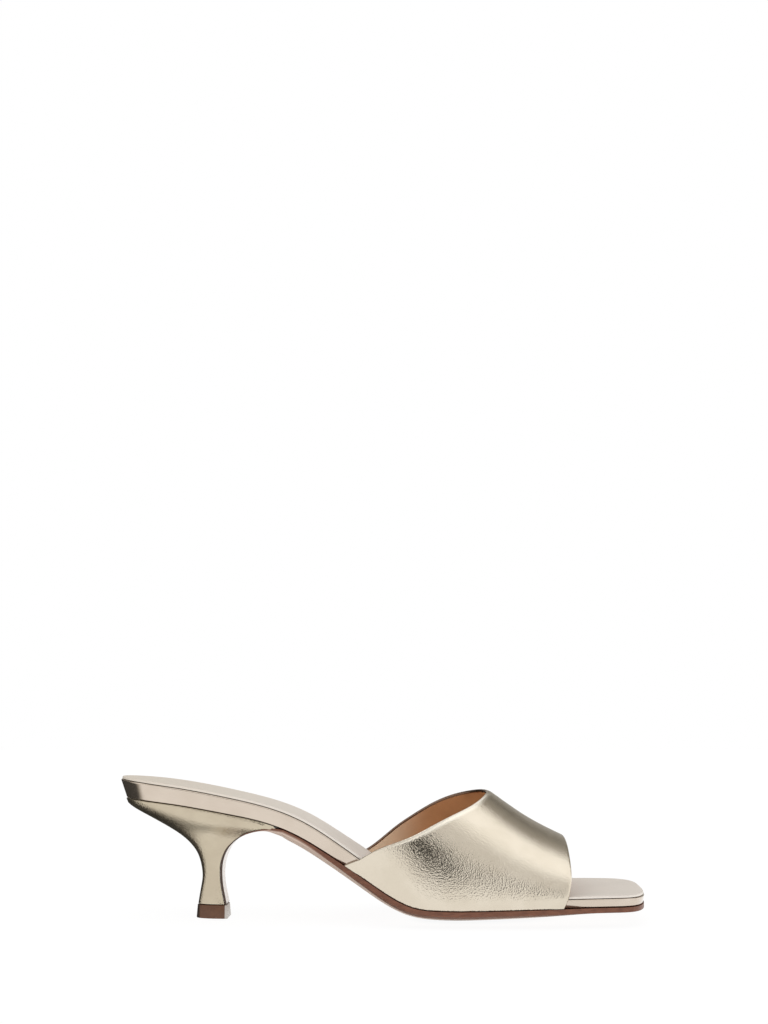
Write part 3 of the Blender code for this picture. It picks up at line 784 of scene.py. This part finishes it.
class Vamp:
    """The vamp's outside as a sheet, with places measured in from its two edges."""

    def __init__(self):
        mirrored = [2 - row[0] for row in reversed(EDGE_ROWS[:-1])]
        around = [row[0] for row in EDGE_ROWS] + mirrored
        outer = [row[1] for row in EDGE_ROWS]
        inner = [row[2] for row in reversed(EDGE_ROWS[:-1])]
        mouth = [row[3] for row in EDGE_ROWS]
        self.topline = smooth(around, outer + inner)
        self.mouth = smooth(around, mouth + mouth[-2::-1])
        tucks = [TUCK * i / TUCK_LINES for i in range(TUCK_LINES)]
        arch = [blend(TUCK, 2 - TUCK, i / VAMP_LINES) for i in range(VAMP_LINES + 1)]
        self.turns = tucks + arch + [2 - turn for turn in reversed(tucks)]

    def span(self, turn, step):
        """Two turns close to the given one, on the same side of the folds at the insole."""
        low, high = turn - step, turn + step
        for start, end in ((0.0, TUCK), (TUCK, 2 - TUCK), (2 - TUCK, 2.0)):
            if start <= turn <= end and not (turn == TUCK and start == 0.0):
                return max(low, start), min(high, end)
        return low, high

    def pace(self, turn, edge):
        """How far along the shoe a line goes to come one metre in from an edge."""
        step = 0.002
        near, far = self.span(turn, step)
        edge_run = unit(vamp_section(far, edge(far)) - vamp_section(near, edge(near)))
        ahead = vamp_section(turn, edge(turn) + step)
        behind = vamp_section(turn, edge(turn) - step)
        line_run = (ahead - behind) / (2 * step)
        return 1 / np.linalg.norm(line_run - edge_run * line_run.dot(edge_run))

    def normal(self, turn, along):
        """The unit normal to the outside."""
        step = 0.0015
        low, high = self.span(turn, step)
        round_run = vamp_section(high, along) - vamp_section(low, along)
        long_run = vamp_section(turn, along + step) - vamp_section(turn, along - step)
        return unit(np.cross(long_run, round_run))

    def rings(self, outside, inside):
        """A closed profile on each line: its outside half and its inside half.

        Each half gives, for a turn, its steps from the edge's tip inwards, as (inset, depth), at the
        topline and at the toe opening. A plain stretch lies between them.
        """
        rings = []
        for turn in self.turns:
            topline, mouth = self.topline(turn), self.mouth(turn)
            top_pace, mouth_pace = self.pace(turn, self.topline), self.pace(turn, self.mouth)
            halves = []
            for half in (outside, inside):
                first, last = half(turn)
                row = [(topline + inset_by * top_pace, drop) for inset_by, drop in first]
                low, high = row[-1][0], mouth - last[-1][0] * mouth_pace
                plain = VAMP_STEPS - len(first) - len(last)
                row += [(blend(low, high, i / plain), first[-1][1]) for i in range(1, plain)]
                row += [(mouth - inset_by * mouth_pace, drop) for inset_by, drop in reversed(last)]
                halves.append(row)
            profile = halves[0] + halves[1][-2:0:-1]
            rings.append([
                tuple(vamp_section(turn, along) - depth * self.normal(turn, along))
                for along, depth in profile
            ])
        return rings


def rolled(length):
    """The outer half of a folded edge, from its tip to the vamp's outside."""
    angles = [math.pi / 2 * i / RIM_STEPS for i in range(RIM_STEPS + 1)]
    return [(length * (1 - math.cos(a)), WALL / 2 * (1 - math.sin(a))) for a in angles]


def make_vamp(vamp, materials):
    """The vamp's gold leather, folded round the topline and the toe opening."""
    angles = [math.pi / 2 * i / (RIM_STEPS - 2) for i in range(RIM_STEPS - 1)]
    fold = [(INNER_ROLL * (1 - math.cos(a)), WALL / 2 * (1 + math.sin(a))) for a in angles]
    fold += [(FOLD_WIDTH, WALL), (FOLD_WIDTH, WALL - LINING_STEP)]

    def outside(turn):
        full = ramp(min(turn, 2 - turn), ROLL_START, ROLL_FULL)
        return rolled(blend(WING_ROLL, THROAT_ROLL, full)), rolled(MOUTH_ROLL)

    item = body("vamp_leather", vamp.rings(outside, lambda turn: (fold, fold)), materials)
    count = len(item.data.vertices) // len(vamp.turns)
    dark, bright = [], []
    # Painted shade darkens the folded edge at the wings and all along the far side, where it reaches
    # further over the fold inside
    for turn in vamp.turns:
        near_wing = 1 - ramp(turn, ROLL_START, ROLL_FULL)
        far_side = ramp(turn, *FAR_SIDE)
        edge_shade = max(near_wing, far_side)
        # A painted highlight along the near side's rolled topline
        highlight_and_wear = ramp(turn, ROLL_START, ROLL_FULL) * (1 - ramp(turn, *NEAR_END))
        for i in range(count):
            step = min(i, count - i)
            painted_dark = edge_shade * (1 - ramp(step, SHADE_STEPS / 2, SHADE_STEPS))
            painted_dark = max(painted_dark, far_side * (1 - ramp(count - i, SHADE_FOLD_STEPS - 1, SHADE_FOLD_STEPS + 1)))
            dark.append(painted_dark)
            bright.append(highlight_and_wear * ramp(i, 0, 2) * (1 - ramp(i, RIM_STEPS - 2, RIM_STEPS + 1)))
    note(item, "edge_shade", dark)
    note(item, "highlight_and_wear", bright)
    return item


def make_lining(vamp, materials):
    """The vamp's tan lining, set into the gold leather between its folds."""
    start = FOLD_WIDTH + LINING_CLEARANCE
    tip = (start, WALL - LINING_STEP / 2)
    back = [tip, (start, WALL - LINING_STEP + LINING_CLEARANCE)]
    face = [tip, (start, WALL - LINING_CLEARANCE)]
    return body("vamp_lining", vamp.rings(lambda turn: (back, back), lambda turn: (face, face)), materials)


# Materials

# Sockets of Blender's Mix node where it mixes colours
MIX_SHARE, MIX_FIRST, MIX_SECOND, MIX_RESULT = 0, 6, 7, 2


class Shader:
    """A Principled material, built up with short calls."""

    def __init__(self, name):
        self.material = bpy.data.materials.new(name)
        self.material.use_nodes = True
        self.nodes = self.material.node_tree.nodes
        self.links = self.material.node_tree.links
        self.surface = self.nodes["Principled BSDF"]
        self.place = self.nodes.new("ShaderNodeTexCoord").outputs["Object"]
        self.bump = None

    def set(self, **values):
        for socket, value in values.items():
            self.surface.inputs[socket.replace("_", " ").title()].default_value = value
        return self

    def noise(self, scale, detail=2.0, roughness=0.5, stretch=(1, 1, 1)):
        place = self.place
        if stretch != (1, 1, 1):
            mapping = self.nodes.new("ShaderNodeMapping")
            mapping.inputs["Scale"].default_value = stretch
            self.links.new(place, mapping.inputs["Vector"])
            place = mapping.outputs["Vector"]
        node = self.nodes.new("ShaderNodeTexNoise")
        node.inputs["Scale"].default_value = scale
        node.inputs["Detail"].default_value = detail
        node.inputs["Roughness"].default_value = roughness
        self.links.new(place, node.inputs["Vector"])
        return node.outputs["Fac"]

    def cells(self, scale, feature="F1"):
        node = self.nodes.new("ShaderNodeTexVoronoi")
        node.feature = feature
        node.inputs["Scale"].default_value = scale
        self.links.new(self.place, node.inputs["Vector"])
        return node.outputs["Distance"]

    def spread(self, source, low, high, start=0.0, end=1.0):
        """Maps a value from between start and end to between low and high, smoothly."""
        node = self.nodes.new("ShaderNodeMapRange")
        node.interpolation_type = "SMOOTHSTEP"
        for socket, value in (("From Min", start), ("From Max", end), ("To Min", low), ("To Max", high)):
            node.inputs[socket].default_value = value
        self.links.new(source, node.inputs["Value"])
        return node.outputs["Result"]

    def mix(self, share, first, second):
        """Mixes two colours, which may be sockets, by a share."""
        node = self.nodes.new("ShaderNodeMix")
        node.data_type = "RGBA"
        self.links.new(share, node.inputs[MIX_SHARE])
        for index, colour in ((MIX_FIRST, first), (MIX_SECOND, second)):
            if isinstance(colour, tuple):
                node.inputs[index].default_value = (*colour, 1.0)
            else:
                self.links.new(colour, node.inputs[index])
        return node.outputs[MIX_RESULT]

    def mottled(self, source, tones, start=0.3, end=0.7):
        """An uneven colour that follows a noise from the first tone to the second."""
        return self.mix(self.spread(source, 0.0, 1.0, start, end), *tones)

    def add_bump(self, height, distance, strength=1.0):
        """Lays another relief, as deep as a distance in metres, over those before it."""
        node = self.nodes.new("ShaderNodeBump")
        node.inputs["Distance"].default_value = distance
        node.inputs["Strength"].default_value = strength
        self.links.new(height, node.inputs["Height"])
        if self.bump is not None:
            self.links.new(self.bump, node.inputs["Normal"])
        self.bump = node.outputs["Normal"]
        self.links.new(self.bump, self.surface.inputs["Normal"])

    def colour(self, source):
        self.links.new(source, self.surface.inputs["Base Color"])

    def roughness(self, scale, low, high):
        """Sets a roughness that wanders between low and high."""
        wander = self.spread(self.noise(scale), low, high, 0.3, 0.7)
        self.links.new(wander, self.surface.inputs["Roughness"])

    def plain(self, specular):
        """Sets how much a surface that isn't metal mirrors."""
        self.surface.inputs["Specular IOR Level"].default_value = specular

    def axis(self, name):
        """The place along the shoe as X, or the height above the floor as Z."""
        node = self.nodes.new("ShaderNodeSeparateXYZ")
        self.links.new(self.place, node.inputs["Vector"])
        return node.outputs[name]

    def attribute(self, name):
        node = self.nodes.new("ShaderNodeAttribute")
        node.attribute_name = name
        return node.outputs["Fac"]


def gold_leather(name, tones, grain, folds=False):
    """Pale gold foil on fine-grained leather, which may carry painted shade and a painted highlight along
    its folds.
    """
    shader = Shader(name)
    shader.set(metallic=0.95)
    broad = shader.mottled(shader.noise(70, 3.0), tones, 0.35, 0.65)
    speck = shader.spread(shader.noise(1900, 1.0), 0.0, 0.30 * grain, 0.50, 0.75)
    colour = shader.mix(speck, broad, tuple(SPECK_SHADE * part for part in tones[1]))
    if folds:
        colour = shader.mix(shader.attribute("highlight_and_wear"), colour, PAINTED_FOLD_HIGHLIGHT)
        colour = shader.mix(shader.attribute("edge_shade"), colour, PAINTED_EDGE_SHADE)
    shader.colour(colour)
    shader.roughness(420, 0.11, 0.18)
    shader.add_bump(shader.noise(55), 0.00020, 0.4)
    shader.add_bump(shader.noise(1150, 1.0), 0.00009 * grain)
    shader.add_bump(shader.cells(1800), 0.00010 * grain)
    return shader.material


def sock_leather():
    """Smooth pale lining leather, a little warmer at the heel."""
    shader = Shader("sock_leather")
    shader.plain(specular=0.3)
    fore = shader.mottled(shader.noise(45, 3.0), SOCK_FORE, 0.35, 0.65)
    heel = shader.spread(shader.axis("X"), 1.0, 0.0, -0.110, 0.0)
    shader.colour(shader.mix(heel, fore, SOCK_HEEL))
    shader.roughness(300, 0.50, 0.60)
    shader.add_bump(shader.noise(1800), 0.00003, 0.4)
    return shader.material


def lining_leather():
    """Tan lining leather, palest where the light reaches it at the wings."""
    shader = Shader("lining_leather")
    shader.plain(specular=0.3)
    deep = shader.mottled(shader.noise(60, 3.0), LINING_DEEP)
    wing = shader.spread(shader.axis("X"), 1.0, 0.0, -0.006, 0.026)
    shader.colour(shader.mix(wing, deep, LINING_WING))
    shader.roughness(500, 0.50, 0.65)
    shader.add_bump(shader.noise(1500), 0.00006, 0.6)
    return shader.material


def sole_leather():
    """The sole: its edge is stained dark and polished, its underside left pale, and painted shade darkens
    the tread near the floor and at the forepart's edge.
    """
    shader = Shader("sole_leather")
    shader.plain(specular=0.35)
    dark = shader.mottled(shader.noise(900, 3.0, 0.6, (0.25, 1, 1)), SOLE_STAIN_AND_SHADE)
    under = shader.mottled(shader.noise(160, 3.0), SOLE_UNDER)
    flap = shader.spread(shader.axis("X"), 1.0, 0.0, *FLAP_SPAN)
    pale = shader.mix(flap, under, FLAP_FACE)
    edge = shader.mix(flap, dark, FLAP_EDGE)
    unshaded = shader.mix(shader.attribute("pale"), edge, pale)
    # Painted shade darkens the tread close to the floor
    floor_shade = shader.spread(shader.axis("Z"), 1.0, 0.0, FLOOR_SHADE_FOOT, FLOOR_SHADE_TOP)
    shader.colour(shader.mix(floor_shade, unshaded, PAINTED_FLOOR_SHADE))
    shader.roughness(600, 0.35, 0.50)
    shader.add_bump(shader.noise(1600), 0.00004, 0.5)
    return shader.material


def tip_rubber(rear, front):
    """The hard brown top piece, painted dark with shade at its back and worn pale down its front."""
    shader = Shader("tip_rubber")
    shader.plain(specular=0.3)
    brown = shader.mottled(shader.noise(300, 3.0), TIP_BROWN)
    # Painted shade at the back
    back = shader.spread(shader.axis("X"), 1.0, 0.0, rear + TIP_SHADE_START, rear + TIP_SHADE_END)
    shaded = shader.mix(back, brown, TIP_BACK_SHADE)
    highlight_and_wear = shader.spread(shader.axis("X"), 0.0, 1.0, front - TIP_RUB_START, front - TIP_RUB_END)
    shader.colour(shader.mix(highlight_and_wear, shaded, TIP_WORN))
    shader.roughness(500, 0.35, 0.50)
    shader.add_bump(shader.noise(1400), 0.00004, 0.5)
    return shader.material


# Studio


def direction(azimuth, elevation):
    """The unit vector of a direction: azimuth 0 is towards the camera, 90 towards the toe."""
    turn, lift = math.radians(azimuth), math.radians(elevation)
    return (math.sin(turn) * math.cos(lift), -math.cos(turn) * math.cos(lift), math.sin(lift))


# Soft screens and lamps of the studio, as the shoe sees them: the direction, and the angles from it
# at which the patch is full and at which it ends, in degrees
SCREENS = (
    # azimuth, elevation, inner, outer, light left
    (-130, -16, 30, 49, 0.03),
    (-132, 32, 10, 30, 0.18),
    (-85, 48, 15, 50, 0.65),
    (134, 34, 12, 28, 0.30),
    (158, 16, 10, 26, 0.34),
    (-170, 18, 12, 28, 0.45),
    (180, -45, 14, 32, 0.08),
    (22, 44, 6, 20, 0.64),
    (-5, 23, 10, 15, 0.0),
)
LAMPS = (
    # azimuth, elevation, inner, outer, added light
    (57, 60, 10, 38, 0.24),
    (-112, 56, 4, 16, 1.20),
    (115, 12, 4, 16, 0.50),
)
# The dim parts of the studio are a little warmer than the bright ones
DIM_COLOUR = (1.0, 0.93, 0.81)
DIM_SPAN = (0.15, 0.95)
STUDIO_LIGHT = 1.10
# The floor: light of its own, colour and width
FLOOR_GLOW = 0.93
FLOOR_TONE = 0.10
FLOOR_SIZE = 8.0
# The camera's place, and its picture in pixels of the photograph
CAMERA_X = 0.00097
CAMERA_DISTANCE = 0.600
CAMERA_HEIGHT = 0.088
FRAME_HEIGHT = 1024
FOCAL_PIXELS = 1307.4
HORIZON_ROW = 725
SENSOR = 36.0


def make_world():
    """A soft pale studio: light all round, held back by dark screens behind and to the left."""
    world = bpy.data.worlds.new("studio")
    bpy.context.scene.world = world
    world.use_nodes = True
    nodes, links = world.node_tree.nodes, world.node_tree.links
    nodes.clear()
    place = nodes.new("ShaderNodeTexCoord").outputs["Generated"]

    def patch(row, start, end):
        """A value that passes from start outside a patch to end inside it."""
        azimuth, elevation, inner, outer, _ = row
        dot = nodes.new("ShaderNodeVectorMath")
        dot.operation = "DOT_PRODUCT"
        dot.inputs[1].default_value = direction(azimuth, elevation)
        links.new(place, dot.inputs[0])
        spread = nodes.new("ShaderNodeMapRange")
        spread.interpolation_type = "SMOOTHSTEP"
        spread.inputs["From Min"].default_value = math.cos(math.radians(outer))
        spread.inputs["From Max"].default_value = math.cos(math.radians(inner))
        spread.inputs["To Min"].default_value = start
        spread.inputs["To Max"].default_value = end
        links.new(dot.outputs["Value"], spread.inputs["Value"])
        return spread.outputs["Result"]

    def join(operation, first, second):
        node = nodes.new("ShaderNodeMath")
        node.operation = operation
        links.new(first, node.inputs[0])
        links.new(second, node.inputs[1])
        return node.outputs["Value"]

    light = patch(SCREENS[0], STUDIO_LIGHT, STUDIO_LIGHT * SCREENS[0][-1])
    for row in SCREENS[1:]:
        light = join("MULTIPLY", light, patch(row, 1.0, row[-1]))
    for row in LAMPS:
        light = join("ADD", light, patch(row, 0.0, row[-1]))
    lit = nodes.new("ShaderNodeBackground")
    links.new(light, lit.inputs["Strength"])
    share = nodes.new("ShaderNodeMapRange")
    share.inputs["From Min"].default_value, share.inputs["From Max"].default_value = DIM_SPAN
    links.new(light, share.inputs["Value"])
    tint = nodes.new("ShaderNodeMix")
    tint.data_type = "RGBA"
    tint.inputs[MIX_FIRST].default_value = (*DIM_COLOUR, 1.0)
    tint.inputs[MIX_SECOND].default_value = (1.0, 1.0, 1.0, 1.0)
    links.new(share.outputs["Result"], tint.inputs[MIX_SHARE])
    links.new(tint.outputs[MIX_RESULT], lit.inputs["Color"])
    white = nodes.new("ShaderNodeBackground")
    path = nodes.new("ShaderNodeLightPath")
    mixed = nodes.new("ShaderNodeMixShader")
    links.new(path.outputs["Is Camera Ray"], mixed.inputs["Fac"])
    links.new(lit.outputs["Background"], mixed.inputs[1])
    links.new(white.outputs["Background"], mixed.inputs[2])
    white.inputs["Color"].default_value = (1.0, 1.0, 1.0, 1.0)
    output = nodes.new("ShaderNodeOutputWorld")
    links.new(mixed.outputs["Shader"], output.inputs["Surface"])


def make_floor():
    """A plain white floor, which shows only a faint soft shadow."""
    half = FLOOR_SIZE / 2
    mesh = bpy.data.meshes.new("floor")
    corners = [(-half, -half, 0), (half, -half, 0), (half, half, 0), (-half, half, 0)]
    mesh.from_pydata(corners, [], [(0, 1, 2, 3)])
    floor = bpy.data.objects.new("floor", mesh)
    bpy.context.scene.collection.objects.link(floor)
    shader = Shader("floor")
    shader.set(base_color=(FLOOR_TONE, FLOOR_TONE, FLOOR_TONE, 1.0), roughness=1.0)
    shader.plain(specular=0.0)
    shader.surface.inputs["Emission Color"].default_value = (1.0, 1.0, 1.0, 1.0)
    shader.surface.inputs["Emission Strength"].default_value = FLOOR_GLOW
    mesh.materials.append(shader.material)
    floor.visible_glossy = False
    floor.visible_diffuse = False
    floor.visible_shadow = False


def make_camera():
    """The photograph's view: level, from the outer side, with its frame raised above the horizon."""
    data = bpy.data.cameras.new("camera")
    data.sensor_width = SENSOR
    data.lens = FOCAL_PIXELS * SENSOR / FRAME_HEIGHT
    data.shift_y = (HORIZON_ROW - FRAME_HEIGHT / 2) / FRAME_HEIGHT
    data.clip_start = 0.01
    camera = bpy.data.objects.new("camera", data)
    camera.location = (CAMERA_X, -CAMERA_DISTANCE, CAMERA_HEIGHT)
    camera.rotation_euler = (math.pi / 2, 0, 0)
    bpy.context.scene.collection.objects.link(camera)
    bpy.context.scene.camera = camera


def main():
    bpy.context.scene.view_settings.view_transform = "Standard"
    make_camera()
    make_world()
    make_floor()
    line = SoleLine()
    vamp = Vamp()
    vamp_gold = gold_leather("vamp_gold", VAMP_GOLD, grain=0.5, folds=True)
    band_gold = gold_leather("band_gold", BAND_GOLD, grain=0.0)
    heel_gold = gold_leather("heel_gold", HEEL_GOLD, grain=0.7)
    low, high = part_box("heel_tip")
    pieces = (
        # piece, replaced node, slot
        (make_vamp(vamp, [vamp_gold]), "upper", "gold_leather"),
        (make_lining(vamp, [lining_leather()]), None, "sole_leather"),
        (make_band([band_gold]), "insole", "gold_leather"),
        (make_sock([sock_leather()]), "sock", "sock_leather"),
        (make_outsole(line, [sole_leather()]), "outsole", "sole_leather"),
        (make_heel(line, [heel_gold]), "heel", "gold_leather"),
        (make_tip(line, [tip_rubber(low.x, high.x)]), "heel_tip", "tip_rubber"),
    )
    for piece, node, slot in pieces:
        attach(piece, "root")
        if node:
            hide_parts(node)


main()
